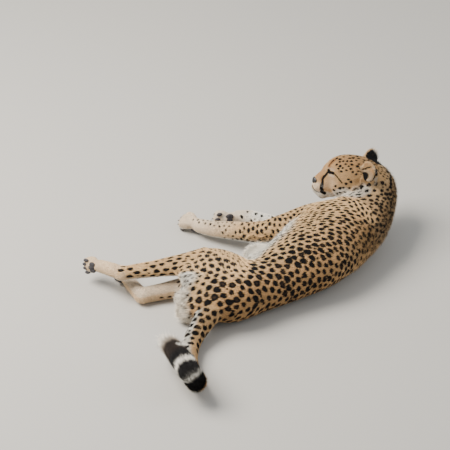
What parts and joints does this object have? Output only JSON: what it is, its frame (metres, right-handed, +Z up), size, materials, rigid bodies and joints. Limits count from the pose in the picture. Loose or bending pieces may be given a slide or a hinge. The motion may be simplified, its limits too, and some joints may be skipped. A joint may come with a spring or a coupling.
{
  "type": "cheetah model",
  "caption": "Life-size resting adult cheetah lying on its right side, head raised and turned back over the shoulder, tail folded at its end.",
  "frame": {"origin": "on the floor flat under the ribs", "axes": "+X along the trunk towards the head, -Y the side of the spine, +Y the side of the feet, +Z up away from the floor"},
  "size_m": [1.1811, 0.9205, 0.2993],
  "materials": {
    "coat": "short matte spotted fur",
    "pale_coat": "pale short fur",
    "dark_coat": "black banded fur",
    "nose": "moist black nose leather",
    "pads": "rough dark slate paw pads",
    "claws": "smooth dark horn",
    "whiskers": "fine pale whiskers"
  },
  "bodies": {
    "root": {"head": "coat", "neck": "coat", "chest": "coat", "abdomen": "coat", "rump": "coat", "foreleg_left": "coat", "foreleg_right": "coat", "forepaw_left": "pale_coat", "forepaw_right": "pale_coat", "thigh_left": "coat", "thigh_right": "coat", "shank_left": "coat", "shank_right": "coat", "hindpaw_left": "pale_coat", "hindpaw_right": "pale_coat", "tail_root": "coat", "tail_middle": "coat", "tail_bend": "dark_coat", "tail_tip": "coat", "ear_left": "coat", "ear_right": "coat"}
  },
  "joints": []
}
